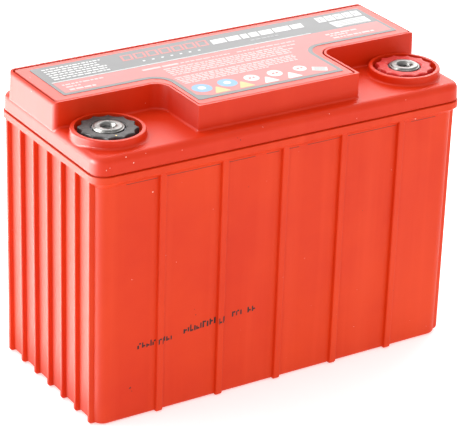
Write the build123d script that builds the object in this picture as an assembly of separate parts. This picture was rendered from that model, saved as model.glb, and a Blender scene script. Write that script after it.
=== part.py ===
from build123d import *
import math
import os

# Sealed 12 V motorcycle battery with six absorbed-electrolyte cells in series.
# Frame: origin at the middle of the base, +X along the length towards the positive
# terminal, +Y towards the plain back side, +Z up. Millimetres.

os.makedirs("parts", exist_ok=True)

# ---------------------------------------------------------------- overall size
length = 177.8
width = 85.6
height = 131.3
corner_radius = 7.0

# ---------------------------------------------------------------- case
lid_rise = 18.55           # lid skirt edge up to the top of the raised deck
seam_gap = 0.6             # open groove between the case band and the lid skirt
seam_depth = 1.2           # groove depth, from the band's face to the weld ledge
band_height = 2.9          # band round the mouth of the case, its widest part
band_slope_height = 2.4    # sloping underside of the band
band_root = 0.1            # how far the slope ends inside the recessed panels
band_edge = 0.3
draft = 0.2                # how far each outer face leans in from top to bottom
rib_inset = 1.1            # long-side rib faces, in from the band
rib_depth = 1.6
rib_width = 3.0
rib_pitch = 28.87
rib_count = 5
fin_inset = 0.3            # end fin faces, in from the band
fin_depth = 2.1
fin_width = 1.5
fin_count = 7
fin_margin = 7.1           # outermost fin, in from the long side
rib_edge = 0.5
base_edge = 1.5
wall = 2.6                 # long-side wall at its thinnest
end_wall = 2.0             # end wall at its thinnest
floor = 3.0
partition = 1.5
cell_count = 6
tongue_width = 1.8         # spigot that the lid seats on
tongue_rise = 1.1          # spigot above the lid skirt's lower edge
tongue_corner = 3.0
seam_clearance = 0.15

# ---------------------------------------------------------------- lid
lid_inset = 0.4            # lid skirt, in from the band
skirt_edge = 0.3
shelf_rise = 7.4          # lid skirt edge up to the terminal shelf
shelf_thickness = 3.0
shoulder = 3.0
end_lean = 0.76            # lid ends lean in from the skirt edge to the top
deck_back_ledge = 8.13     # ledge behind the raised deck
deck_front_ledge = 7.48    # ledge in front of the raised middle block
deck_wing_ledge = 36.5     # front of the two wings, in from the long side
deck_corner = 2.2
notch_corner = 6.0
sharp_corner = 0.5
foot_fillet = 1.0          # deck walls and collars into the shelf
rim_width = 0.9
rim_groove = 0.6
cover_ledge = 2.4
rim_edge = 0.3

# ---------------------------------------------------------------- terminals
terminal_inset_x = 16.9
terminal_inset_y = 21.4
collar_diameter = 30.5
collar_bore = 27.2
collar_height = 3.6
collar_edge = 0.6
block_to_terminal = 33.25  # side of the middle block to the terminal axis
nut_diameter = 24.6
nut_height = 3.7
nut_lobes = 12
nut_scallop = 5.5          # radius of each scallop
nut_scallop_out = 4.3      # scallop centres outside the nut's edge
nut_edge = 0.4
nut_lip = 1.2
thread_clearance = 0.05
post_diameter = 15.0
post_hole_clearance = 0.15
post_foot = 14.0
flange_diameter = 20.0
flange_height = 3.0
seal_section = 2.0
seal_squeeze_gap = 0.05
seal_bore_gap = 0.1
insert_flange = 13.0
insert_flange_height = 1.25
insert_flange_edge = 0.4
insert_sink = 0.6          # flange seat below the nut's top
insert_lip_gap = 0.4
insert_body = 9.0
insert_depth = 11.15        # barrel below the flange
insert_floor = 1.2
bolt_minor = 5.0           # M6 core diameter
bolt_mouth = 6.8
insert_clearance = 0.03

# ---------------------------------------------------------------- vent valves
valve_stub_diameter = 8.0
valve_stub_bore = 3.6
valve_stub_height = 4.5
valve_clearance = 0.1
valve_wall = 1.6
valve_top = 2.2
valve_skirt_gap = 1.0
valve_lift = 0.6
valve_stop_gap = 0.05
valve_pad = 7.0
valve_edge = 0.8

# ---------------------------------------------------------------- cover and label
cover_thickness = 2.45
label_thickness = 0.15
label_margin_end = 6.1
label_margin_back = 4.5
label_margin_front = 5.4
label_margin_side = 3.3
label_corner = 1.0
label_notch_corner = 8.0

# ---------------------------------------------------------------- cell contents
positive_plates = 6
positive_thickness = 1.1
negative_thickness = 0.9
stack_clearance = 0.3      # plate stack to each partition
plate_gap = 0.04
plate_side_gap = 1.6
mat_side_gap = 0.4
mat_fold = 1.1
mat_above_plate = 3.0
plate_head_space = 21.5    # plate tops, below the spigot's top
lug_width = 10.0
strap_gap = 7.0            # plate top to strap
strap_height = 5.0
strap_width = 12.0
upstand_height = 7.0
upstand_thickness = 3.6
weld_diameter = 8.8
weld_clearance = 0.1
weld_lift = 0.5            # weld below the middle of the upstands

overrun = 1.0              # how far a cutting tool runs past the face it opens

# ---------------------------------------------------------------- worked-out places
lid_bottom = height - lid_rise
case_top = lid_bottom - seam_gap
seat_z = lid_bottom + tongue_rise
shelf_z = lid_bottom + shelf_rise
ceiling_z = shelf_z - shelf_thickness
cover_seat_z = height - label_thickness - cover_thickness
cover_top_z = height - label_thickness

inner_half_x = length / 2 - fin_inset - draft - fin_depth - end_wall
inner_half_y = width / 2 - rib_inset - draft - rib_depth - wall
cell_pitch = (2 * inner_half_x + partition) / cell_count
cell_half = (cell_pitch - partition) / 2
cell_x = [(i - (cell_count - 1) / 2) * cell_pitch for i in range(cell_count)]
partition_x = [(cell_x[i] + cell_x[i + 1]) / 2 for i in range(cell_count - 1)]

terminal_x = length / 2 - terminal_inset_x
terminal_y = -(width / 2 - terminal_inset_y)
wing_y = -(width / 2 - deck_wing_ledge)
back_y = width / 2 - deck_back_ledge
block_y = -(width / 2 - deck_front_ledge)
block_x = terminal_x - block_to_terminal
lid_half_x = length / 2 - lid_inset
lid_half_y = width / 2 - lid_inset
lid_corner = corner_radius - lid_inset
deck_x = lid_half_x - end_lean
valve_y = (wing_y + back_y) / 2

nut_top_z = shelf_z + nut_height
post_top_z = nut_top_z - nut_lip - thread_clearance
insert_seat_z = nut_top_z - insert_sink
flange_top_z = ceiling_z - seal_section - 2 * seal_squeeze_gap
stub_top_z = shelf_z + valve_stub_height
valve_top_z = stub_top_z + valve_top

negative_thickness_total = (positive_plates + 1) * negative_thickness
positive_thickness_total = positive_plates * positive_thickness
gap_total = 4 * positive_plates * plate_gap
stack_width = 2 * (cell_half - stack_clearance)
mat_thickness = (
    stack_width - negative_thickness_total - positive_thickness_total - gap_total
) / (2 * positive_plates)
plate_top_z = seat_z - plate_head_space
strap_z = plate_top_z + strap_gap
weld_z = strap_z + strap_height + upstand_height / 2 - weld_lift


def block(x0, x1, y0, y1, z0, z1):
    """Box between two corners."""
    return Pos((x0 + x1) / 2, (y0 + y1) / 2, (z0 + z1) / 2) * Box(x1 - x0, y1 - y0, z1 - z0)


def rod(x, y, z0, z1, diameter):
    """Upright cylinder between two heights."""
    return Pos(x, y, (z0 + z1) / 2) * Cylinder(diameter / 2, z1 - z0)


def rounded_prism(half_x, half_y, radius, z0, z1):
    """Upright prism on a rounded rectangle."""
    face = Pos(0, 0, z0) * RectangleRounded(2 * half_x, 2 * half_y, radius)
    return extrude(face, z1 - z0)


def leaning_prism(half_x, half_y, radius, z0, z1, spread):
    """Rounded prism whose four sides lean outwards by spread from z0 to z1."""
    angle = math.degrees(math.atan(spread / (z1 - z0)))
    face = Pos(0, 0, z0) * RectangleRounded(2 * half_x, 2 * half_y, radius)
    return extrude(face, z1 - z0, taper=-angle)


def edges_at(shape, z):
    """Edges that lie in the level plane z."""
    return shape.edges().filter_by_position(Axis.Z, z - 0.01, z + 0.01)


# ---------------------------------------------------------------- case
def rib_envelope():
    """Outer faces of the ribs and fins, narrower at the base."""
    half_x = length / 2 - fin_inset - draft
    half_y = width / 2 - rib_inset - draft
    body = leaning_prism(half_x, half_y, corner_radius - 1, 0, case_top, draft)
    return fillet(edges_at(body, 0), base_edge)


def case_core():
    """Recessed panels between the ribs and fins."""
    half_x = length / 2 - fin_inset - draft - fin_depth
    half_y = width / 2 - rib_inset - draft - rib_depth
    body = leaning_prism(half_x, half_y, corner_radius - 2, 0, case_top, draft)
    return fillet(edges_at(body, 0), base_edge)


def long_edges(bar):
    """Outer upright edges of a rib or fin slab, without its rounded foot."""
    return [e for e in bar.edges() if e.length > 0.8 * case_top]


def case_ribs():
    """Upright ribs on both long sides, one slab across the case each."""
    envelope = rib_envelope()
    ribs = []
    for i in range(rib_count):
        x = (i - (rib_count - 1) / 2) * rib_pitch
        half = rib_width / 2
        slab = block(x - half, x + half, -width, width, -1, case_top - band_height / 2)
        bar = (envelope & slab).solid()
        ribs.append(fillet(long_edges(bar), rib_edge))
    return ribs


def case_fins():
    """Thin upright fins on both ends."""
    envelope = rib_envelope()
    reach = width / 2 - fin_margin
    fins = []
    for i in range(fin_count):
        y = -reach + i * 2 * reach / (fin_count - 1)
        half = fin_width / 2
        slab = block(-length, length, y - half, y + half, -1, case_top - band_height / 2)
        bar = (envelope & slab).solid()
        fins.append(fillet(long_edges(bar), rib_edge))
    return fins


def case_band():
    """Band round the mouth of the case, with a sloping underside."""
    band_z = case_top - band_height
    body = rounded_prism(length / 2, width / 2, corner_radius, band_z, case_top)
    body = fillet(edges_at(body, case_top), band_edge)
    run = max(rib_inset + rib_depth, fin_inset + fin_depth) + band_root
    half_x = length / 2 - run
    half_y = width / 2 - run
    corner = corner_radius - run
    return body + leaning_prism(half_x, half_y, corner, band_z - band_slope_height, band_z, run)


def make_case():
    body = case_core() + case_band()
    for bar in case_ribs() + case_fins():
        body += bar
    tongue_x = inner_half_x + tongue_width
    tongue_y = inner_half_y + tongue_width
    body += rounded_prism(tongue_x, tongue_y, tongue_corner, case_top - band_height, seat_z)
    ledge_x = length / 2 - seam_depth
    ledge_y = width / 2 - seam_depth
    ledge_corner = corner_radius - seam_depth
    body += rounded_prism(ledge_x, ledge_y, ledge_corner, case_top - band_height / 2, lid_bottom)
    for x in cell_x:
        body -= block(x - cell_half, x + cell_half, -inner_half_y, inner_half_y, floor, seat_z + overrun)
    for i, x in enumerate(partition_x):
        hole = Pos(x, connector_y(i), weld_z) * Rot(0, 90, 0)
        body -= hole * Cylinder(weld_diameter / 2 + weld_clearance, partition + overrun)
    return body.solid()


# ---------------------------------------------------------------- lid
def deck_face(inset, convex, concave, z, end_x=None):
    """T-shaped outline of the raised deck, moved in by inset on every side."""
    end = (deck_x if end_x is None else end_x) - inset
    side = block_x - inset
    front = block_y + inset
    wing = wing_y + inset
    back = back_y - inset
    points = [
        (-end, back), (-end, wing), (-side, wing), (-side, front),
        (side, front), (side, wing), (end, wing), (end, back),
    ]
    face = make_face(Polyline(*points, close=True))
    inner = [v for v in face.vertices() if abs(v.Y - wing) < 0.01 and abs(abs(v.X) - side) < 0.01]
    outer = [v for v in face.vertices() if v not in inner]
    face = fillet(inner, concave)
    outer = [
        v for v in face.vertices()
        if any(math.dist((v.X, v.Y), (p[0], p[1])) < 0.01 for p in points)
    ]
    face = fillet(outer, convex)
    return Pos(0, 0, z) * face


def lid_envelope():
    """Ends and sides of the lid, leaning in towards the top."""
    angle = math.degrees(math.atan(end_lean / lid_rise))
    face = Pos(0, 0, lid_bottom) * RectangleRounded(2 * lid_half_x, 2 * lid_half_y, lid_corner)
    body = extrude(face, lid_rise, taper=angle)
    return fillet(edges_at(body, lid_bottom), skirt_edge)


def lid_tray():
    """Lower part of the lid up to the terminal shelf, with a rounded shoulder."""
    body = lid_envelope() & block(-length, length, -width, width, lid_bottom, shelf_z)
    body = body.solid()
    return fillet(edges_at(body, shelf_z), shoulder)


def lid_deck():
    """Raised T-shaped deck with its ends flush with the lid's ends."""
    face = deck_face(0, sharp_corner, notch_corner, ceiling_z, length)
    prism = extrude(face, height - ceiling_z)
    body = (prism & lid_envelope()).solid()
    upright = []
    for e in body.edges().filter_by(GeomType.LINE):
        c = e.center()
        tall = e.length > 0.8 * (height - ceiling_z)
        near_block = abs(abs(c.X) - block_x) < sharp_corner and c.Y < block_y + sharp_corner
        near_end = abs(c.X) > deck_x - deck_corner
        if tall and (near_block or near_end):
            upright.append(e)
    return fillet(upright, deck_corner)


def collar(side):
    """Round collar that guards one terminal."""
    x = side * terminal_x
    top = shelf_z + collar_height
    ring = rod(x, terminal_y, (ceiling_z + shelf_z) / 2, top, collar_diameter)
    return fillet(edges_at(ring, top), collar_edge)


def collar_distance(point):
    """Level distance from a point to the nearer terminal's axis."""
    return math.dist((abs(point.X), point.Y), (terminal_x, terminal_y))


def foot_edges(body):
    """Edges where the deck walls and the collars stand on the shelf and its shoulder."""
    feet = []
    for e in edges_at(body, shelf_z):
        middle = e @ 0.5
        between = block_y - sharp_corner < middle.Y < back_y + sharp_corner
        if between and abs(middle.X) < deck_x - shoulder:
            feet.append(e)
    for e in body.edges().filter_by(GeomType.BSPLINE):
        away = [collar_distance(e @ t) - collar_diameter / 2 for t in (0, 0.5, 1)]
        if max(abs(d) for d in away) < 0.01:
            feet.append(e)
    return feet


def lid_hollows():
    """Spaces cut out of the lid: cell heads, vent chamber and cover pocket."""
    cuts = []
    tongue_x = inner_half_x + tongue_width + seam_clearance
    tongue_y = inner_half_y + tongue_width + seam_clearance
    cuts.append(rounded_prism(tongue_x, tongue_y, tongue_corner, lid_bottom - overrun, seat_z))
    for x in cell_x:
        cuts.append(
            block(x - cell_half, x + cell_half, -inner_half_y, inner_half_y, lid_bottom, ceiling_z)
        )
    chamber = rim_width + rim_groove + cover_ledge
    face = deck_face(chamber, sharp_corner, notch_corner + chamber, shelf_z)
    cuts.append(extrude(face, height - shelf_z))
    face = deck_face(rim_width, deck_corner - rim_width / 2, notch_corner + rim_width, cover_seat_z)
    cuts.append(extrude(face, height - cover_seat_z + overrun))
    return cuts


def make_lid():
    body = lid_tray() + lid_deck()
    for side in (-1, 1):
        body += collar(side)
    body = fillet(foot_edges(body), foot_fillet)
    for cut in lid_hollows():
        body -= cut
    for side in (-1, 1):
        x = side * terminal_x
        body -= rod(x, terminal_y, shelf_z, shelf_z + collar_height + overrun, collar_bore)
        hole = post_diameter + 2 * post_hole_clearance
        body -= rod(x, terminal_y, ceiling_z - overrun, shelf_z + overrun, hole)
    for x in cell_x:
        body += rod(x, valve_y, (ceiling_z + shelf_z) / 2, stub_top_z, valve_stub_diameter)
        body -= rod(x, valve_y, ceiling_z - overrun, stub_top_z + overrun, valve_stub_bore)
    return body.solid()


# ---------------------------------------------------------------- cover, label, valves
def make_cover_plate():
    """Cover welded over the vent chamber, with a stop pad above each valve."""
    inset = rim_width + rim_groove
    face = deck_face(inset, deck_corner - rim_width / 2, notch_corner + inset, cover_seat_z)
    body = extrude(face, cover_thickness)
    body = fillet(edges_at(body, cover_top_z), rim_edge)
    pad_z = valve_top_z + valve_lift + valve_stop_gap
    for x in cell_x:
        body += rod(x, valve_y, pad_z, cover_seat_z + cover_thickness / 2, valve_pad)
    return body.solid()


def make_label():
    """Printed label stuck on the cover plate."""
    end = deck_x - label_margin_end
    side = block_x - label_margin_side
    front = block_y + label_margin_front
    wing = wing_y + label_margin_front
    back = back_y - label_margin_back
    points = [
        (-end, back), (-end, wing), (-side, wing), (-side, front),
        (side, front), (side, wing), (end, wing), (end, back),
    ]
    face = make_face(Polyline(*points, close=True))
    inner = [v for v in face.vertices() if abs(v.Y - wing) < 0.01 and abs(abs(v.X) - side) < 0.01]
    face = fillet(inner, label_notch_corner)
    corners = [
        v for v in face.vertices()
        if any(math.dist((v.X, v.Y), p) < 0.01 for p in points)
    ]
    face = fillet(corners, label_corner)
    return extrude(Pos(0, 0, cover_top_z) * face, label_thickness).solid()


def make_valve(x):
    """Rubber cap that lifts off its stub when the cell's pressure rises."""
    bore = valve_stub_diameter + 2 * valve_clearance
    outer = bore + 2 * valve_wall
    cap = rod(x, valve_y, shelf_z + valve_skirt_gap, valve_top_z, outer)
    cap = fillet(edges_at(cap, valve_top_z), valve_edge)
    return (cap - rod(x, valve_y, shelf_z, stub_top_z, bore)).solid()


# ---------------------------------------------------------------- terminals
def make_ring_nut(side):
    """Scalloped ring nut that clamps the post to the lid."""
    x = side * terminal_x
    body = rod(x, terminal_y, shelf_z, nut_top_z, nut_diameter)
    body = fillet(edges_at(body, nut_top_z), nut_edge)
    for i in range(nut_lobes):
        angle = 2 * math.pi * (i + 0.5) / nut_lobes
        reach = nut_diameter / 2 + nut_scallop_out
        cx = x + reach * math.cos(angle)
        cy = terminal_y + reach * math.sin(angle)
        body -= rod(cx, cy, shelf_z - overrun, nut_top_z + overrun, 2 * nut_scallop)
    bore = post_diameter + 2 * thread_clearance
    body -= rod(x, terminal_y, shelf_z - overrun, nut_top_z - nut_lip, bore)
    body -= rod(x, terminal_y, shelf_z, nut_top_z + overrun, insert_flange + 2 * insert_lip_gap)
    return body.solid()


def make_post(side):
    """Cast lead post from the plate strap up through the lid."""
    x = side * terminal_x
    body = rod(x, terminal_y, strap_z + strap_height, flange_top_z - flange_height, post_foot)
    body += rod(x, terminal_y, flange_top_z - flange_height, flange_top_z, flange_diameter)
    body += rod(x, terminal_y, flange_top_z, post_top_z, post_diameter)
    body += rod(x, terminal_y, post_top_z, insert_seat_z, insert_flange)
    pocket = insert_body + 2 * insert_clearance
    body -= rod(x, terminal_y, insert_seat_z - insert_depth, insert_seat_z + overrun, pocket)
    return body.solid()


def make_insert(side):
    """Flanged brass insert with a blind M6 thread, modelled at the core diameter."""
    x = side * terminal_x
    top = insert_seat_z + insert_flange_height
    body = rod(x, terminal_y, insert_seat_z, top, insert_flange)
    body = chamfer(edges_at(body, top), insert_flange_edge)
    body += rod(x, terminal_y, insert_seat_z - insert_depth, insert_seat_z, insert_body)
    body -= rod(x, terminal_y, insert_seat_z - insert_depth + insert_floor, top + overrun, bolt_minor)
    sink = (bolt_mouth - bolt_minor) / 2
    body -= Pos(x, terminal_y, top - sink / 2) * Cone(bolt_minor / 2, bolt_mouth / 2, sink)
    return body.solid()


def make_post_seal(side):
    """Rubber ring between the post's flange and the underside of the lid."""
    section = seal_section / 2
    ring = post_diameter / 2 + section + seal_bore_gap
    z = (flange_top_z + ceiling_z) / 2
    return (Pos(side * terminal_x, terminal_y, z) * Torus(ring, section)).solid()


# ---------------------------------------------------------------- cell contents
def connector_y(i):
    """Side on which the weld through partition i lies; it swaps from cell to cell."""
    return -terminal_y if i % 2 == 0 else terminal_y


def positive_y(cell):
    return -terminal_y if cell % 2 == 0 else terminal_y


def negative_y(cell):
    return -positive_y(cell)


def positive_plate_x(cell):
    """Middle of each positive plate of one cell."""
    step = positive_thickness + negative_thickness + 2 * mat_thickness + 4 * plate_gap
    first = -(positive_plates - 1) / 2 * step
    return [cell_x[cell] + first + i * step for i in range(positive_plates)]


def negative_plate_x(cell):
    """Middle of each negative plate of one cell, one more than the positives."""
    step = positive_thickness + negative_thickness + 2 * mat_thickness + 4 * plate_gap
    first = -positive_plates / 2 * step
    return [cell_x[cell] + first + i * step for i in range(positive_plates + 1)]


def plate(x, thickness, bottom, lug_y):
    """One plate with its lug up to the strap."""
    half_y = inner_half_y - plate_side_gap
    half_t = thickness / 2
    body = block(x - half_t, x + half_t, -half_y, half_y, bottom, plate_top_z)
    half_lug = lug_width / 2
    body += block(x - half_t, x + half_t, lug_y - half_lug, lug_y + half_lug, plate_top_z - overrun, strap_z)
    return body.solid()


def make_positive_plates(cell):
    bottom = floor + mat_fold + plate_gap
    return [plate(x, positive_thickness, bottom, positive_y(cell)) for x in positive_plate_x(cell)]


def make_negative_plates(cell):
    return [plate(x, negative_thickness, floor, negative_y(cell)) for x in negative_plate_x(cell)]


def make_separators(cell):
    """Glass mat folded in a U under and up both sides of each positive plate."""
    half_y = inner_half_y - mat_side_gap
    top = plate_top_z + mat_above_plate
    slot = positive_thickness / 2 + plate_gap
    mats = []
    for x in positive_plate_x(cell):
        outer = slot + mat_thickness
        body = block(x - outer, x + outer, -half_y, half_y, floor, top)
        body -= block(x - slot, x + slot, -half_y - overrun, half_y + overrun, floor + mat_fold, top + overrun)
        mats.append(body.solid())
    return mats


def make_strap(cell, y, partition_side):
    """Lead bar across one cell's lugs; partition_side is -1, 1 or 0 for no upstand."""
    x0 = cell_x[cell] - stack_width / 2
    x1 = cell_x[cell] + stack_width / 2
    if partition_side < 0:
        x0 = cell_x[cell] - cell_half
    if partition_side > 0:
        x1 = cell_x[cell] + cell_half
    half = strap_width / 2
    top = strap_z + strap_height
    body = block(x0, x1, y - half, y + half, strap_z, top)
    if partition_side < 0:
        body += block(x0, x0 + upstand_thickness, y - half, y + half, strap_z, top + upstand_height)
    if partition_side > 0:
        body += block(x1 - upstand_thickness, x1, y - half, y + half, strap_z, top + upstand_height)
    return body.solid()


def make_connector(i):
    """Weld through one partition, joining two cells' straps."""
    place = Pos(partition_x[i], connector_y(i), weld_z) * Rot(0, 90, 0)
    return (place * Cylinder(weld_diameter / 2, partition)).solid()


# ---------------------------------------------------------------- export
def save(name, *shapes):
    """Write one sub-part, as a compound where it is several equal pieces."""
    shape = shapes[0] if len(shapes) == 1 else Compound(children=list(shapes))
    export_step(shape, f"parts/{name}.step")


def main():
    save("case", make_case())
    save("lid", make_lid())
    save("cover_plate", make_cover_plate())
    save("label", make_label())
    for side, name in ((-1, "negative"), (1, "positive")):
        save(f"{name}_ring_nut", make_ring_nut(side))
        save(f"{name}_terminal_post", make_post(side))
        save(f"{name}_thread_insert", make_insert(side))
        save(f"{name}_post_seal", make_post_seal(side))
    for i in range(cell_count):
        cell = i + 1
        save(f"relief_valve_{cell}", make_valve(cell_x[i]))
        save(f"cell_{cell}_positive_plates", *make_positive_plates(i))
        save(f"cell_{cell}_negative_plates", *make_negative_plates(i))
        save(f"cell_{cell}_separators", *make_separators(i))
        last = i == cell_count - 1
        save(f"cell_{cell}_positive_strap", make_strap(i, positive_y(i), 0 if last else 1))
        save(f"cell_{cell}_negative_strap", make_strap(i, negative_y(i), 0 if i == 0 else -1))
    for i in range(cell_count - 1):
        save(f"cell_connector_{i + 1}", make_connector(i))


main()
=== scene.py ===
import math
import random

import bmesh
import bpy
from mathutils import Matrix, Vector


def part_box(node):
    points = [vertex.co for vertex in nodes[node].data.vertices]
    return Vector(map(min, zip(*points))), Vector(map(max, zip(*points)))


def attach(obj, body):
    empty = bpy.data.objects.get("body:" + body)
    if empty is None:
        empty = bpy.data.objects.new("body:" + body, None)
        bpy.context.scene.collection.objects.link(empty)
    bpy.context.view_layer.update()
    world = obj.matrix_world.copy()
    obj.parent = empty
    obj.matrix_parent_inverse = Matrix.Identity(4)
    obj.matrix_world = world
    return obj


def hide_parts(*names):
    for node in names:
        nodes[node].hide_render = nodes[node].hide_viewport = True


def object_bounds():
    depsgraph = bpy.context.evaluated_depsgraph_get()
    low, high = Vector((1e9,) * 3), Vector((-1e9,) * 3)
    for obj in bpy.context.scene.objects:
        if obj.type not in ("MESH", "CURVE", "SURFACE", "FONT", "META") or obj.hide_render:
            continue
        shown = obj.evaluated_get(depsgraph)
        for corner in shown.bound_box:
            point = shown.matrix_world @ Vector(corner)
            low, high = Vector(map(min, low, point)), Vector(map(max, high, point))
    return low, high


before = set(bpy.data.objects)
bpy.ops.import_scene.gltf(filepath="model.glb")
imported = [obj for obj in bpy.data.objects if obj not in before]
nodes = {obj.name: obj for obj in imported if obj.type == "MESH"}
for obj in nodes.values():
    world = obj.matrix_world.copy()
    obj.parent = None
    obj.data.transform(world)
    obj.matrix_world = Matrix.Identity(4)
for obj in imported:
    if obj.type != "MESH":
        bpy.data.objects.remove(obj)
cad_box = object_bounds()

MM = 0.001
BODY = "battery"
draw = random.Random(7)

# Places read from the CAD nodes, in millimetres.
SIDES = ("negative", "positive")


def box_mm(node):
    """Lowest and highest corner of a CAD node, in millimetres."""
    return [Vector(corner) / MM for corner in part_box(node)]


INSERTS = {side: box_mm(f"{side}_thread_insert") for side in SIDES}
NUTS = {side: box_mm(f"{side}_ring_nut") for side in SIDES}
TOP = cad_box[1][2] / MM
COVER_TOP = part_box("cover_plate")[1][2] / MM


# ------------------------------------------------------------------ shader helpers
class Shader:
    """A Principled material and short calls to build its nodes."""

    def __init__(self, name):
        self.mat = bpy.data.materials.new(name)
        self.mat.use_nodes = True
        self.tree = self.mat.node_tree
        self.tree.nodes.clear()
        self.out = self.tree.nodes.new("ShaderNodeOutputMaterial")
        self.bsdf = self.tree.nodes.new("ShaderNodeBsdfPrincipled")
        self.link(self.bsdf.outputs["BSDF"], self.out.inputs["Surface"])
        self.coord = self.tree.nodes.new("ShaderNodeTexCoord").outputs["Object"]

    def link(self, a, b):
        self.tree.links.new(a, b)

    def feed(self, socket, value):
        if isinstance(value, bpy.types.NodeSocket):
            self.link(value, socket)
        else:
            socket.default_value = value

    def stretch(self, sx, sy, sz):
        n = self.tree.nodes.new("ShaderNodeMapping")
        self.link(self.coord, n.inputs["Vector"])
        n.inputs["Scale"].default_value = (sx, sy, sz)
        return n.outputs["Vector"]

    def noise(self, scale, detail=3.0, rough=0.5, vector=None, distort=0.0):
        n = self.tree.nodes.new("ShaderNodeTexNoise")
        self.link(vector or self.coord, n.inputs["Vector"])
        n.inputs["Scale"].default_value = scale
        n.inputs["Detail"].default_value = detail
        n.inputs["Roughness"].default_value = rough
        n.inputs["Distortion"].default_value = distort
        return n.outputs["Fac"]

    def voronoi(self, scale):
        n = self.tree.nodes.new("ShaderNodeTexVoronoi")
        self.link(self.coord, n.inputs["Vector"])
        n.inputs["Scale"].default_value = scale
        return n.outputs["Distance"]

    def ramp(self, fac, *stops):
        n = self.tree.nodes.new("ShaderNodeValToRGB")
        self.link(fac, n.inputs["Fac"])
        while len(n.color_ramp.elements) < len(stops):
            n.color_ramp.elements.new(0.5)
        for e, (at, c) in zip(n.color_ramp.elements, stops):
            e.position = at
            e.color = (c, c, c, 1.0) if isinstance(c, (int, float)) else (*c, 1.0)
        return n.outputs["Color"]

    def math(self, op, a, b=0.0):
        n = self.tree.nodes.new("ShaderNodeMath")
        n.operation = op
        self.feed(n.inputs[0], a)
        self.feed(n.inputs[1], b)
        return n.outputs[0]

    def mix(self, fac, a, b):
        n = self.tree.nodes.new("ShaderNodeMix")
        n.data_type = "RGBA"
        self.feed(n.inputs["Factor"], fac)
        for key, v in (("A", a), ("B", b)):
            socket = [s for s in n.inputs if s.name == key and s.type == "RGBA"][0]
            self.feed(socket, (*v, 1.0) if isinstance(v, tuple) else v)
        return [s for s in n.outputs if s.type == "RGBA"][0]

    def bump(self, height, strength, distance, under=None):
        n = self.tree.nodes.new("ShaderNodeBump")
        n.inputs["Strength"].default_value = strength
        n.inputs["Distance"].default_value = distance
        self.link(height, n.inputs["Height"])
        if under is not None:
            self.link(under, n.inputs["Normal"])
        return n.outputs["Normal"]

    def done(self, color, rough, normal=None, **constants):
        self.feed(self.bsdf.inputs["Base Color"], color)
        self.feed(self.bsdf.inputs["Roughness"], rough)
        if normal is not None:
            self.link(normal, self.bsdf.inputs["Normal"])
        for key, v in constants.items():
            self.bsdf.inputs[key.replace("_", " ")].default_value = v
        return self.mat


def moulded(name, base, deep, pale, rough, streaks=0.35):
    """Satin moulded plastic: flow streaks, fine orange peel, scuffs and dust."""
    s = Shader(name)
    cloud = s.noise(18, 4, 0.55)
    flow = s.noise(90, 3, 0.6, s.stretch(1.0, 1.0, 0.045))
    fine = s.noise(2600, 2, 0.5)
    peel = s.noise(420, 2, 0.5)
    color = s.mix(s.ramp(cloud, (0.3, 0.0), (0.75, 1.0)), deep, base)
    color = s.mix(s.math("MULTIPLY", s.ramp(flow, (0.45, 0.0), (0.72, 1.0)), streaks), color, pale)
    scuff = s.noise(60, 6, 0.75, s.stretch(1.0, 1.0, 0.35), 0.6)
    scuffs = s.ramp(scuff, (0.62, 0.0), (0.74, 1.0))
    color = s.mix(s.math("MULTIPLY", scuffs, 0.16), color, pale)
    dust = s.ramp(s.voronoi(210), (0.018, 1.0), (0.04, 0.0))
    few = s.ramp(s.noise(35, 1), (0.56, 0.0), (0.62, 1.0))
    specks = s.math("MULTIPLY", dust, few)
    color = s.mix(s.math("MULTIPLY", specks, 0.75), color, (0.9, 0.72, 0.66))
    r = s.math("ADD", rough - 0.05, s.math("MULTIPLY", flow, 0.1))
    r = s.math("ADD", r, s.math("MULTIPLY", scuffs, 0.12))
    n = s.bump(flow, 0.1, 0.0003)
    n = s.bump(peel, 0.12, 0.00012, n)
    n = s.bump(fine, 0.06, 0.00005, n)
    n = s.bump(specks, 0.4, 0.0001, n)
    return s.done(color, r, n, Specular_IOR_Level=0.24)


def ink(name, color, wear=0.25, rough=0.3):
    """Printed ink with a halftone grain and thin patches."""
    s = Shader(name)
    grain = s.noise(2400, 2, 0.6)
    patch = s.noise(70, 4, 0.6)
    lighter = tuple(min(1.0, c * 1.25 + 0.03) for c in color)
    darker = tuple(c * 0.82 for c in color)
    c = s.mix(s.ramp(grain, (0.35, 0.0), (0.65, 1.0)), darker, color)
    c = s.mix(s.math("MULTIPLY", s.ramp(patch, (0.45, 0.0), (0.7, 1.0)), wear), c, lighter)
    r = s.math("ADD", rough - 0.04, s.math("MULTIPLY", patch, 0.1))
    n = s.bump(s.noise(300, 3, 0.5), 0.1, 0.0001)
    n = s.bump(grain, 0.04, 0.00003, n)
    return s.done(c, r, n, Specular_IOR_Level=0.3)


RED = (0.70, 0.046, 0.002)
LID_RED = (0.63, 0.024, 0.0015)
DEEP_RED = (0.61, 0.026, 0.001)
PALE_RED = (0.78, 0.070, 0.018)
case_mat = moulded("case_red", RED, DEEP_RED, PALE_RED, 0.52)
lid_mat = moulded("lid_red", LID_RED, DEEP_RED, PALE_RED, 0.45, 0.12)
cover_mat = moulded("cover_red", LID_RED, DEEP_RED, PALE_RED, 0.4, 0.1)


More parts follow.
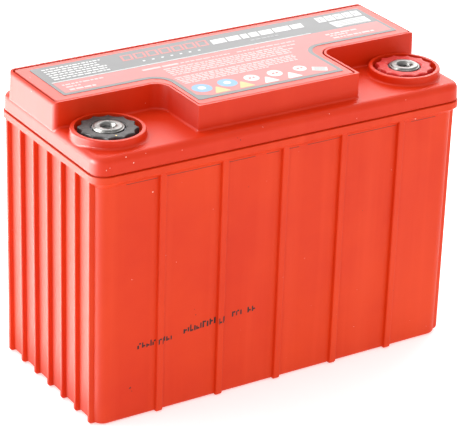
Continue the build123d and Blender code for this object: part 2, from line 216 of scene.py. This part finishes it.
def rubbery(name, base, pale, rough=0.62):
    """Matt rubber, nylon or dirt with a dusty film."""
    s = Shader(name)
    cloud = s.noise(160, 4, 0.6)
    fine = s.noise(1800, 3, 0.6)
    dusty = s.ramp(s.noise(420, 5, 0.7), (0.5, 0.0), (0.72, 1.0))
    c = s.mix(s.ramp(cloud, (0.3, 0.0), (0.8, 1.0)), base, tuple(v * 1.5 for v in base))
    c = s.mix(s.math("MULTIPLY", dusty, 0.3), c, pale)
    r = s.math("ADD", rough - 0.08, s.math("MULTIPLY", cloud, 0.16))
    n = s.bump(cloud, 0.15, 0.0002)
    n = s.bump(fine, 0.25, 0.00006, n)
    return s.done(c, r, n, Specular_IOR_Level=0.33)


def metal(name, base, dark, rough, metallic=1.0):
    """Cast or plated metal: cloudy tone, fine grain and dark pits."""
    s = Shader(name)
    cloud = s.noise(260, 5, 0.65)
    fine = s.noise(2400, 3, 0.6)
    pit = s.ramp(s.voronoi(900), (0.06, 1.0), (0.16, 0.0))
    c = s.mix(s.ramp(cloud, (0.35, 0.0), (0.75, 1.0)), base, dark)
    c = s.mix(s.math("MULTIPLY", pit, 0.35), c, tuple(v * 0.35 for v in dark))
    r = s.math("ADD", rough - 0.1, s.math("MULTIPLY", cloud, 0.22))
    n = s.bump(cloud, 0.2, 0.0002)
    n = s.bump(fine, 0.2, 0.00006, n)
    n = s.bump(pit, 0.4, 0.0001, n)
    return s.done(c, r, n, Metallic=metallic)


def fibrous(name, base, pale):
    """Pressed glass fibre or pasted plate, matt with fine strands."""
    s = Shader(name)
    strand = s.noise(900, 5, 0.7, s.stretch(1.0, 0.2, 1.0), 0.8)
    cloud = s.noise(120, 4, 0.6)
    c = s.mix(s.ramp(strand, (0.35, 0.0), (0.7, 1.0)), base, pale)
    c = s.mix(s.math("MULTIPLY", cloud, 0.3), c, tuple(v * 0.7 for v in base))
    r = s.math("ADD", 0.75, s.math("MULTIPLY", cloud, 0.2))
    n = s.bump(strand, 0.5, 0.0002)
    return s.done(c, r, n, Specular_IOR_Level=0.3)


black_mat = rubbery("black_nylon", (0.028, 0.026, 0.026), (0.22, 0.21, 0.2), 0.5)
rednut_mat = rubbery("red_nylon", (0.46, 0.016, 0.012), (0.8, 0.34, 0.3), 0.56)
tin_mat = metal("tin_plate", (0.25, 0.245, 0.235), (0.07, 0.068, 0.065), 0.36)
lead_mat = metal("cast_lead", (0.36, 0.37, 0.4), (0.2, 0.2, 0.22), 0.55, 0.85)
rubber_mat = rubbery("seal_rubber", (0.02, 0.02, 0.021), (0.1, 0.1, 0.1), 0.6)
valve_mat = rubbery("valve_rubber", (0.024, 0.024, 0.026), (0.14, 0.14, 0.14), 0.66)
positive_mat = fibrous("positive_paste", (0.1, 0.045, 0.025), (0.17, 0.085, 0.05))
negative_mat = fibrous("negative_paste", (0.27, 0.28, 0.3), (0.4, 0.41, 0.43))
mat_mat = fibrous("glass_mat", (0.72, 0.72, 0.7), (0.88, 0.88, 0.87))


def paint(node, material):
    mesh = nodes[node].data
    mesh.materials.clear()
    mesh.materials.append(material)


paint("case", case_mat)
paint("lid", lid_mat)
paint("cover_plate", cover_mat)
for side in SIDES:
    paint(f"{side}_terminal_post", lead_mat)
    paint(f"{side}_post_seal", rubber_mat)
for cell in range(1, 7):
    paint(f"relief_valve_{cell}", valve_mat)
    paint(f"cell_{cell}_positive_plates", positive_mat)
    paint(f"cell_{cell}_negative_plates", negative_mat)
    paint(f"cell_{cell}_separators", mat_mat)
    paint(f"cell_{cell}_positive_strap", lead_mat)
    paint(f"cell_{cell}_negative_strap", lead_mat)
for link in range(1, 6):
    paint(f"cell_connector_{link}", lead_mat)


# ------------------------------------------------------------------ mesh helpers
def piece(name, verts, faces, material, smooth=None):
    """New piece on the battery, vertices in millimetres."""
    mesh = bpy.data.meshes.new(name)
    mesh.from_pydata([Vector(v) * MM for v in verts], [], faces)
    bm = bmesh.new()
    bm.from_mesh(mesh)
    bmesh.ops.recalc_face_normals(bm, faces=bm.faces)
    bm.to_mesh(mesh)
    bm.free()
    mesh.materials.append(material)
    if smooth is not None:
        mesh.shade_smooth()
        mesh.set_sharp_from_angle(angle=math.radians(smooth))
    o = bpy.data.objects.new(name, mesh)
    bpy.context.scene.collection.objects.link(o)
    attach(o, BODY)
    return o


def slabs(name, outlines, z0, z1, material):
    """Thin closed slabs on level outlines, all in one piece."""
    verts, faces = [], []
    for outline in outlines:
        n = len(outline)
        a = len(verts)
        verts += [(x, y, z0) for x, y in outline] + [(x, y, z1) for x, y in outline]
        faces.append([a + n + i for i in range(n)])
        faces.append([a + n - 1 - i for i in range(n)])
        faces += [[a + i, a + (i + 1) % n, a + n + (i + 1) % n, a + n + i] for i in range(n)]
    return piece(name, verts, faces, material)


def rounded(points, steps=8):
    """Outline with each corner (x, y, radius) rounded."""
    out = []
    n = len(points)
    for i, (x, y, r) in enumerate(points):
        p = Vector((x, y))
        a = (Vector(points[i - 1][:2]) - p).normalized()
        b = (Vector(points[(i + 1) % n][:2]) - p).normalized()
        half = a.angle(b) / 2
        reach = r / math.tan(half)
        centre = p + (a + b).normalized() * (r / math.sin(half))
        start = p + a * reach - centre
        end = p + b * reach - centre
        turn = start.angle_signed(end)
        for k in range(steps + 1):
            v = start.copy()
            v.rotate(Matrix.Rotation(-turn * k / steps, 2))
            out.append(tuple(centre + v))
    return out


def lathe(outline_rings, closed_inside=True):
    """Skin over rings of (x, y, z) points, joined back to the first ring if closed_inside."""
    n = len(outline_rings[0])
    verts = [p for ring in outline_rings for p in ring]
    faces = []
    count = len(outline_rings)
    last = count if closed_inside else count - 1
    for j in range(last):
        a, b = j * n, ((j + 1) % count) * n
        faces += [[a + i, a + (i + 1) % n, b + (i + 1) % n, b + i] for i in range(n)]
    return verts, faces


# ------------------------------------------------------------------ label
FILM_TOP = TOP - 0.035
INK_TOP = TOP - 0.018
ICON_TOP = TOP - 0.001
black_ink = ink("ink_black", (0.035, 0.034, 0.034))
red_ink = ink("ink_red", (0.40, 0.022, 0.012))
white_ink = ink("ink_white", (0.52, 0.52, 0.51), 0.1)
pink_ink = ink("ink_pink", (0.5, 0.34, 0.33), 0.2)
grey_ink = ink("ink_grey", (0.2, 0.2, 0.2))
blue_ink = ink("ink_blue", (0.05, 0.23, 0.42))
yellow_ink = ink("ink_yellow", (0.38, 0.32, 0.04))

label_low, label_high = box_mm("label")
LX0, LX1 = label_low.x + 0.9, label_high.x + 0.7
LY0, LY1 = label_low.y, label_high.y
WING = -0.9
BLOCK0, BLOCK1 = -35.3, 34.7
film = rounded([
    (LX0, LY1, 1.0), (LX0, WING, 1.0), (BLOCK0, WING, 7.5), (BLOCK0, LY0, 1.0),
    (BLOCK1, LY0, 1.0), (BLOCK1, WING, 7.5), (LX1, WING, 1.0), (LX1, LY1, 1.0),
])
label = slabs("label_film", [film], COVER_TOP, FILM_TOP, black_ink)
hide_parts("label")

BAND = 12.9
EDGE = 1.6
field = rounded([
    (LX0 + EDGE, BAND - 0.6, 0.3), (LX0 + EDGE, WING + 1.9, 0.3), (BLOCK0 + 1.9, WING + 1.9, 9.3),
    (BLOCK0 + 1.9, LY0 + 5.2, 0.6), (BLOCK0 + 7.5, LY0 + 2.1, 0.6),
    (BLOCK1 - 1.9, LY0 + 2.1, 0.5), (BLOCK1 - 1.9, WING + 1.9, 9.3), (LX1 - EDGE, WING + 1.9, 0.3),
    (LX1 - EDGE, BAND - 0.6, 0.3),
])
slabs("print_red_field", [field], FILM_TOP, INK_TOP, red_ink)


def bar(x0, x1, y, h, slant=0.0):
    return [(x0, y - h / 2), (x1, y - h / 2), (x1 + slant, y + h / 2), (x0 + slant, y + h / 2)]


def words(x0, x1, y, h, longest=3.6, gap=0.55):
    """Bars of uneven length that stand for one line of small print."""
    out = []
    x = x0
    while x < x1 - 0.6:
        end = min(x1, x + draw.uniform(0.9, longest))
        out.append(bar(x, end, y, h))
        x = end + gap
    return out


def frames(x0, x1, y, h, width, gap, slant, stroke):
    """A row of plain slanted frames with no meaning."""
    out = []
    x = x0
    while x + width <= x1 + 0.01:
        out.append(bar(x, x + stroke, y, h, slant))
        out.append(bar(x + width - stroke, x + width, y, h, slant))
        for at in (0.5, -0.5):
            shift = slant * (0.5 + at * (1 - stroke / h))
            left, right = x + stroke + shift, x + width - stroke + shift
            out.append(bar(left, right, y + at * (h - stroke), stroke))
        x += width + gap
    return out


white = [bar(LX0 + EDGE, 46.5, BAND, 0.65)]
for k in range(6):
    line_end = draw.uniform(-53, -45.5) if k else -49.5
    white += words(-76.6, line_end, 27.0 - 2.25 * k, 1.0, 3.2, 0.45)
white += [bar(-34.3 + 4.45 * i, -33.1 + 4.45 * i, 17.6, 1.1, 0.3) for i in range(7)]
x = 2.0
TITLE_HEIGHT = 4.8
for w in (7.0, 6.4, 3.4, 4.4, 6.4, 8.2, 6.0):
    white.append(bar(x, x + w, 20.6 + TITLE_HEIGHT / 2, TITLE_HEIGHT, 1.0))
    x += w + 0.75
slabs("print_white_marks", white, FILM_TOP, ICON_TOP, white_ink)
small_line = words(18.6, 32.6, 17.4, 1.1, 2.6, 0.5)
slabs("print_small_line", small_line, FILM_TOP, ICON_TOP, grey_ink)
blocks = []
x = 57.0
for w in (4.2, 4.2, 4.0, 4.0, 4.0):
    blocks.append(bar(x, x + w, 24.9, 5.6, 0.8))
    x += w + 0.6
blocks.append([(61.0, 13.8), (78.8, 13.8), (79.4, 20.2), (60.6, 20.2)])
slabs("print_white_blocks", blocks, FILM_TOP, INK_TOP, white_ink)
inner = [bar(63.2 + 0.2 * k, 77.5, 19.0 - 1.55 * k, 0.8) for k in range(4)]
inner += [bar(x, x + 1.0, 24.9, 2.2, 0.3) for x in (58.6, 63.2, 67.8, 72.4, 76.8)]
slabs("print_block_lines", inner, INK_TOP, ICON_TOP, grey_ink)
outlines = frames(-41.6, 0.4, 23.9, 6.0, 5.3, 0.8, 1.4, 1.0)
slabs("print_red_outlines", outlines, FILM_TOP, INK_TOP, red_ink)

small = []
small += words(-76.5, -57.6, 8.9, 1.1)
small += words(-76.0, -69.4, 6.4, 1.0)
small += words(-76.0, -64.0, 3.4, 1.4)
small += [bar(-39.6, -31.0, 8.3, 1.5), bar(-30.2, -22.6, 8.3, 1.5)]
small += words(-21.4, 2.6, 8.3, 0.9) + words(6.0, 35.0, 8.3, 0.9)
for k in range(5):
    small += words(-31.4, 35.5 - draw.uniform(2, 9), 5.1 - 1.8 * k, 0.95)
for k in range(5):
    line_end = (28.5 if k < 4 else 10.5) - draw.uniform(0, 5)
    small += words(-32.2 + 0.2 * k, line_end, -5.4 - 1.65 * k, 0.95)
small += words(51.0, 67.0, 8.2, 1.3, 5.0)
small += words(52.0, 61.0, 6.1, 1.1)
small += words(52.0, 73.0, 3.6, 1.3, 4.0)
slabs("print_small_text", small, INK_TOP, ICON_TOP, pink_ink)


def disc(x, y, r, steps=40):
    turns = [2 * math.pi * k / steps for k in range(steps)]
    return [(x + r * math.cos(a), y + r * math.sin(a)) for a in turns]


def triangle(x, y, r):
    across, down = r * 0.95, r * 0.65
    return rounded([(x, y + r, 0.5), (x - across, y - down, 0.5), (x + across, y - down, 0.5)], 4)


MARK_LOW = TOP - 0.009
blue = [disc(-27.8, -19.5, 4.3), disc(-15.6, -19.3, 4.2)]
slabs("print_blue_discs", blue, INK_TOP, MARK_LOW, blue_ink)
pale = [disc(-4.0, -19.3, 3.3), disc(7.3, -19.3, 3.3), disc(19.5, -19.5, 2.9)]
slabs("print_white_discs", pale, INK_TOP, MARK_LOW, white_ink)
yellow = [triangle(-21.9, -24.3, 4.0), triangle(-10.2, -24.2, 4.0)]
slabs("print_yellow_triangles", yellow, INK_TOP, ICON_TOP, yellow_ink)
pale = [triangle(1.7, -24.3, 3.9), triangle(12.9, -24.4, 3.9)]
slabs("print_white_triangles", pale, INK_TOP, ICON_TOP, white_ink)


def tilted(u0, u1, v0, v1):
    """Rectangle turned about the tile's middle."""
    turn_cos, turn_sin = math.cos(TILE_TILT), math.sin(TILE_TILT)
    corners = ((u0, v0), (u1, v0), (u1, v1), (u0, v1))
    return [(TILE_X + turn_cos * u + turn_sin * v, TILE_Y - turn_sin * u + turn_cos * v)
            for u, v in corners]


TILE_X, TILE_Y, TILE_TILT = 26.7, -23.6, 0.5
slabs("print_white_tile", [tilted(-3.2, 3.2, -2.0, 2.0)], INK_TOP, MARK_LOW, white_ink)
tile = [tilted(-2.4, 2.4, a, a + 0.7) for a in (-1.4, -0.2, 1.0)]
slabs("print_tile_lines", tile, MARK_LOW, ICON_TOP, grey_ink)
marks = [disc(-27.8, -19.3, 1.7, 16), disc(-15.6, -19.1, 1.6, 16)]
slabs("print_disc_marks", marks, MARK_LOW, ICON_TOP, white_ink)
rings = []
for x in (-4.0, 7.3, 19.5):
    rings += [bar(x - 1.6, x - 0.3, -19.2, 1.5, 0.4), bar(x + 0.3, x + 1.4, -19.2, 1.5, 0.4)]
slabs("print_ring_marks", rings, MARK_LOW, ICON_TOP, red_ink)


# ------------------------------------------------------------------ ring nuts
def scalloped(angle, lobes, crest, valley, arc, phase):
    """Radius of a ring with concave scallops between sharp crests."""
    step = 2 * math.pi / lobes
    a = (angle - phase) % step - step / 2
    centre = valley + arc
    reach = centre * math.cos(a) - math.sqrt(max(0.0, arc * arc - (centre * math.sin(a)) ** 2))
    return min(reach, crest)


LOBES = 12
SCALLOP_DEPTH = 1.35
SCALLOP_RADIUS = 5.4
NUT_BORE = 7.0


def make_nut(side, material, phase):
    low, high = NUTS[side]
    x, y = (low.x + high.x) / 2, (low.y + high.y) / 2
    z0, z1 = low.z, high.z
    outer = (high.x - low.x) / 2
    n = LOBES * 24
    rows = []
    profile = [
        (1.0, 0.0, z0), (1.0, 0.0, z1 - 0.45), (1.0, -0.12, z1 - 0.2), (1.0, -0.42, z1 - 0.03),
        (1.0, -0.7, z1), (0.55, 0.0, z1 - 0.02), (0.25, 0.0, z1 - 0.02),
        (0.16, 0.0, z1 - 0.04), (0.12, 0.0, z1 - 0.22), (0.05, 0.0, z1 - 0.25),
        (0.0, 0.0, z1 - 0.5), (0.0, 0.55, z1 - 1.2), (0.0, 0.55, z0),
    ]
    for share, shift, z in profile:
        ring = []
        for k in range(n):
            a = 2 * math.pi * k / n
            edge = scalloped(a, LOBES, outer, outer - SCALLOP_DEPTH, SCALLOP_RADIUS, phase)
            r = NUT_BORE + (edge - NUT_BORE) * share + shift
            ring.append((x + r * math.cos(a), y + r * math.sin(a), z))
        rows.append(ring)
    verts, faces = lathe(rows)
    o = piece(f"{side}_nut_detail", verts, faces, material, 32)
    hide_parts(f"{side}_ring_nut")


make_nut("negative", black_mat, 0.02)
make_nut("positive", rednut_mat, 0.3)


# ------------------------------------------------------------------ threaded inserts
PITCH = 1.0
CORE = 2.5
CREST = 3.0
FLANGE_HEIGHT = 1.25
BARREL = 4.5


def make_insert(side, notch):
    low, high = INSERTS[side]
    x, y = (low.x + high.x) / 2, (low.y + high.y) / 2
    top = high.z
    seat = top - FLANGE_HEIGHT
    bottom = low.z
    flange = (high.x - low.x) / 2
    n = 96
    rows = []

    def ring(r, z, wave=0.0, dent=0.0):
        out = []
        for k in range(n):
            a = 2 * math.pi * k / n
            rr = r + wave * math.sin(6 * a + notch)
            near = abs((a - notch + math.pi) % (2 * math.pi) - math.pi)
            rr -= dent * max(0.0, 1 - near / 0.09)
            out.append((x + rr * math.cos(a), y + rr * math.sin(a), z))
        return out

    rows.append(ring(BARREL, bottom))
    rows.append(ring(BARREL, seat))
    rows.append(ring(flange, seat))
    rows.append(ring(flange, seat + 0.55, 0.0, 0.3))
    rows.append(ring(flange - 0.1, seat + 0.68, 0.0, 0.3))
    rows.append(ring(flange - 0.45, seat + 0.72, 0.02, 0.5))
    rows.append(ring(flange - 0.5, seat + 0.6, 0.03, 0.5))
    rows.append(ring(flange - 0.62, seat + 0.62, 0.04, 0.5))
    rows.append(ring(flange - 0.66, top - 0.35, 0.05, 0.5))
    rows.append(ring(flange - 0.95, top - 0.06, 0.07, 0.4))
    rows.append(ring(flange - 1.3, top, 0.05, 0.1))
    rows.append(ring(3.75, top))
    rows.append(ring(3.5, top - 0.08))
    mouth = top - 0.9
    floor_z = bottom + 1.2
    steps = int((mouth - floor_z - 0.6) / 0.125)
    rows.append(ring(CREST + 0.05, mouth + 0.32))
    for j in range(steps + 1):
        z = mouth - j * (mouth - floor_z - 0.6) / steps
        fade = min(1.0, j / 6.0)
        out = []
        for k in range(n):
            a = 2 * math.pi * k / n
            t = ((z / PITCH) - k / n) % 1.0
            tooth = min(1.0, max(0.0, 1.35 * abs(2 * t - 1) - 0.15))
            r = CREST + (CORE - CREST) * tooth * fade
            out.append((x + r * math.cos(a), y + r * math.sin(a), z))
        rows.append(out)
    rows.append(ring(2.4, floor_z + 0.4))
    rows.append(ring(0.3, floor_z))
    verts, faces = lathe(rows, closed_inside=False)
    faces.append(list(range(n))[::-1])
    last = (len(rows) - 1) * n
    faces.append([last + i for i in range(n)])
    o = piece(f"{side}_insert_detail", verts, faces, tin_mat, 40)
    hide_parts(f"{side}_thread_insert")


make_insert("negative", -1.85)
make_insert("positive", -1.4)


# ------------------------------------------------------------------ code marks, dust, dirt and painted shade lines
RAY_START = -70.0
STRIP = 0.4
STEP_LIMIT = 0.5
RIB_X = [28.87 * i for i in (-2, -1, 0, 1, 2)]
BAND_FOOT = 106.85
# lowest height of the painted shade lines along the rib feet
SHADE_LINE_LOW = 34.0
FRONT = (0, -1, 0)


def front_of(node, x, z):
    """Front surface (y) of a CAD node at x and z, all in millimetres, or None past its edge."""
    o = nodes[node]
    to_local = o.matrix_world.inverted()
    start = to_local @ (Vector((x, RAY_START, z)) * MM)
    way = (to_local.to_3x3() @ Vector((0, 1, 0))).normalized()
    hit, place, _, _ = o.ray_cast(start, way)
    return (o.matrix_world @ place).y / MM if hit else None


def stroke(x0, x1, z0, z1, verts, faces, proud=0.02, deep=0.06):
    """Closed patch that follows the front of the case, left out where it would bridge a rib's wall."""
    parts = max(1, math.ceil(abs(x1 - x0) / STRIP))
    columns = []
    for k in range(parts + 1):
        x = x0 + (x1 - x0) * k / parts
        y0, y1 = front_of("case", x, z0), front_of("case", x, z1)
        if y0 is None or y1 is None:
            return
        columns.append((
            (x, y0 - proud, z0), (x, y1 - proud, z1), (x, y1 + deep, z1), (x, y0 + deep, z0),
        ))
    if max(abs(a[0][1] - b[0][1]) for a, b in zip(columns, columns[1:])) > STEP_LIMIT:
        return
    base = len(verts)
    for column in columns:
        verts += column
    for k in range(parts):
        a, b = base + 4 * k, base + 4 * k + 4
        faces += [[a + i, a + (i + 1) % 4, b + (i + 1) % 4, b + i] for i in range(4)]
    faces.append([base, base + 3, base + 2, base + 1])
    last = base + 4 * parts
    faces.append([last, last + 1, last + 2, last + 3])


def code_marks():
    """Inked marks on the front panel, short ticks with no meaning."""
    verts, faces = [], []
    groups = ((-68.0, -51.0, 31.2), (-46.2, -25.6, 33.2), (-22.8, -17.4, 35.0), (-15.2, -11.6, 35.4))
    for x0, x1, base in groups:
        x = x0
        while x + 0.8 <= x1:
            w = draw.uniform(0.5, 0.9)
            h = draw.uniform(1.5, 3.2)
            z = base + 0.06 * (x - x0) + draw.uniform(-0.2, 0.3)
            stroke(x, x + w, z, z + h, verts, faces)
            if draw.random() < 0.45:
                z += draw.uniform(0.1, 2.2)
                stroke(x + w + 0.05, x + w + 0.9, z, z + 0.75, verts, faces)
                x += 0.95
            x += w + draw.uniform(0.3, 0.55)
    piece("code_marks", verts, faces, code_ink)


def speck_field(name, spots, material, lift=0.03):
    """Small irregular flecks on a surface, each (x, y, z, way it faces, size)."""
    verts, faces = [], []
    for x, y, z, way, size in spots:
        n = 9
        out = Vector(way).normalized()
        side = out.orthogonal().normalized()
        over = out.cross(side)
        base = len(verts)
        ring = []
        for k in range(n):
            a = 2 * math.pi * k / n
            r = size / 2 * draw.uniform(0.65, 1.15)
            ring.append(side * (r * math.cos(a)) + over * (r * math.sin(a) * 0.8))
        centre = Vector((x, y, z))
        verts += [centre + v + out * lift * 0.4 for v in ring]
        verts += [centre + v - out * 0.05 for v in ring]
        verts.append(centre + out * lift)
        top = base + 2 * n
        faces += [[base + k, base + (k + 1) % n, top] for k in range(n)]
        faces += [
            [base + k, base + n + k, base + n + (k + 1) % n, base + (k + 1) % n] for k in range(n)
        ]
        faces.append([base + n + k for k in range(n)])
    piece(name, verts, faces, material)


code_ink = ink("ink_code", (0.018, 0.012, 0.012), 0.15, 0.5)
speck_mat = rubbery("dust_speck", (0.72, 0.45, 0.4), (0.85, 0.7, 0.66), 0.6)
# painted shade: dark red-brown colour for the shade lines at the rib feet and under the band
shade_line_mat = rubbery("painted_shade_line", (0.13, 0.03, 0.02), (0.3, 0.07, 0.05), 0.7)
gold_mat = metal("gold_fleck", (0.75, 0.45, 0.12), (0.5, 0.28, 0.06), 0.35)
dirt_mat = rubbery("dark_speck", (0.05, 0.012, 0.01), (0.12, 0.05, 0.04), 0.6)
code_marks()


def painted_shade_lines():
    """Painted shade: dark contact-shadow lines at the right foot of each rib and under the band,
    thinner towards the bottom.
    """
    verts, faces = [], []
    foot = BAND_FOOT - 0.45
    for x in RIB_X:
        z = foot
        while z > SHADE_LINE_LOW:
            step = draw.uniform(3.0, 7.0)
            thin = 0.34 - 0.16 * (foot - z) / (foot - SHADE_LINE_LOW)
            if draw.random() < 0.92:
                stroke(x + 1.62, x + 1.62 + thin, z - step, z, verts, faces, 0.012)
            z -= step
    edges = [-74.0] + [x + 1.6 for x in RIB_X]
    for x0, x1 in zip(edges, [x - 1.9 for x in RIB_X] + [76.0]):
        x = x0
        while x < x1 - 1.0:
            end = min(x1, x + draw.uniform(3.0, 8.0))
            if draw.random() < 0.9:
                stroke(x, end, foot - 0.1, foot + 0.14, verts, faces, 0.012)
            x = end
    piece("painted_shade_lines", verts, faces, shade_line_mat)


def specks_on(node, spots, scale=1.0):
    """Front-facing spots (x, z, size) placed on a CAD node."""
    return [(x, front_of(node, x, z), z, FRONT, scale * size) for x, z, size in spots]


LID_DUST = (
    (-75.2, 119.0, 1.0), (-72.1, 116.3, 0.8), (-84.0, 115.4, 0.7), (-82.6, 116.2, 0.5),
    (-66.4, 118.9, 0.5), (-50.2, 117.2, 0.4), (-12.0, 119.2, 0.45), (20.1, 118.9, 0.6),
    (33.5, 114.6, 0.4), (58.3, 118.0, 0.45),
)
CASE_DUST = (
    (64.6, 108.2, 0.9), (-62.0, 100.8, 0.7), (-71.0, 64.0, 0.4), (-33.6, 87.0, 0.35),
    (12.5, 54.0, 0.35),
)
CASE_DIRT = (
    (-71.2, 14.3, 1.1), (-40.5, 40.5, 0.5), (-41.2, 43.2, 0.35), (-70.3, 12.6, 0.5),
    (-17.0, 93.5, 0.4), (41.0, 70.0, 0.35), (60.2, 27.4, 0.4),
)
LID_DIRT = ((-23.0, 116.2, 0.6), (-24.4, 117.3, 0.4))

# painted shade lines at the rib feet and under the band
painted_shade_lines()
flecks = specks_on("lid", LID_DUST, 0.75) + specks_on("case", CASE_DUST)
speck_field("dust_specks", flecks, speck_mat)
spots = specks_on("case", CASE_DIRT) + specks_on("lid", LID_DIRT)
speck_field("dark_specks", spots, dirt_mat)
low, high = NUTS["negative"]
nut_x, nut_y = (low.x + high.x) / 2, (low.y + high.y) / 2
gold = [(nut_x - 1.6, nut_y - 9.4, high.z - 0.02, (0, 0, 1), 0.8)]
speck_field("gold_fleck", gold, gold_mat)


# ------------------------------------------------------------------ stage, lights, camera
def stage_floor():
    s = Shader("stage_floor")
    grain = s.noise(40, 3, 0.5)
    color = s.mix(grain, (0.84, 0.84, 0.84), (0.87, 0.87, 0.87))
    glow = {"Emission_Color": (1, 1, 1, 1), "Emission_Strength": 0.42}
    s.done(color, 0.9, None, Specular_IOR_Level=0.1, **glow)
    mesh = bpy.data.meshes.new("stage_floor")
    reach = 14.0
    corners = [(-reach, -reach, 0), (reach, -reach, 0), (reach, reach, 0), (-reach, reach, 0)]
    mesh.from_pydata(corners, [], [[0, 1, 2, 3]])
    mesh.materials.append(s.mat)
    o = bpy.data.objects.new("stage_floor", mesh)
    o.location.z = -0.0002
    bpy.context.scene.collection.objects.link(o)


def softbox(name, at, target, width, height, radiance, sheen_only=False):
    """Rectangular light of a given radiance; a sheen-only one shows in reflections alone."""
    data = bpy.data.lights.new(name, "AREA")
    data.shape = "RECTANGLE"
    data.size, data.size_y = width, height
    data.energy = radiance * math.pi * width * height
    o = bpy.data.objects.new(name, data)
    o.location = at
    aim = Vector(target) - Vector(at)
    o.rotation_euler = aim.to_track_quat("-Z", "Y").to_euler()
    o.visible_camera = False
    o.visible_diffuse = not sheen_only
    bpy.context.scene.collection.objects.link(o)


stage_floor()
softbox("back_softbox", (1.3, 2.1, 1.25), (0, 0, 0.1), 3.2, 2.2, 3.8)
softbox("top_softbox", (-0.9, 1.1, 2.2), (0, 0, 0.1), 2.2, 1.6, 2.5)
softbox("floor_glow", (-0.60, 0.46, 0.0006), (-0.60, 0.46, 1.0), 1.0, 1.0, 9.0, True)
softbox("left_glow", (-1.3, 0.45, 0.3), (0, 0, 0.06), 1.0, 0.6, 62.0, True)

world = bpy.data.worlds.new("studio")
bpy.context.scene.world = world
world.use_nodes = True
background = world.node_tree.nodes["Background"]
background.inputs["Color"].default_value = (1, 1, 1, 1)
background.inputs["Strength"].default_value = 1.0
bpy.context.scene.view_settings.view_transform = "Standard"

camera_data = bpy.data.cameras.new("camera")
SENSOR = 36
FOCAL_SHARE = 2253.79 / 460
camera_data.sensor_width = SENSOR
camera_data.lens = FOCAL_SHARE * SENSOR
camera_data.clip_end = 50
camera = bpy.data.objects.new("camera", camera_data)
yaw, pitch, roll = (math.radians(v) for v in (32.4924, 25.1139, 1.8916))
ahead = Vector((math.sin(yaw) * math.cos(pitch), math.cos(yaw) * math.cos(pitch), -math.sin(pitch)))
level = Vector((math.cos(yaw), -math.sin(yaw), 0))
above = level.cross(ahead)
right = level * math.cos(roll) + above * math.sin(roll)
up = above * math.cos(roll) - level * math.sin(roll)
turn = Matrix((right, up, -ahead)).transposed().to_4x4()
camera.matrix_world = Matrix.Translation(Vector((-471.339, -740.139, 472.100)) * MM) @ turn
bpy.context.scene.collection.objects.link(camera)
bpy.context.scene.camera = camera
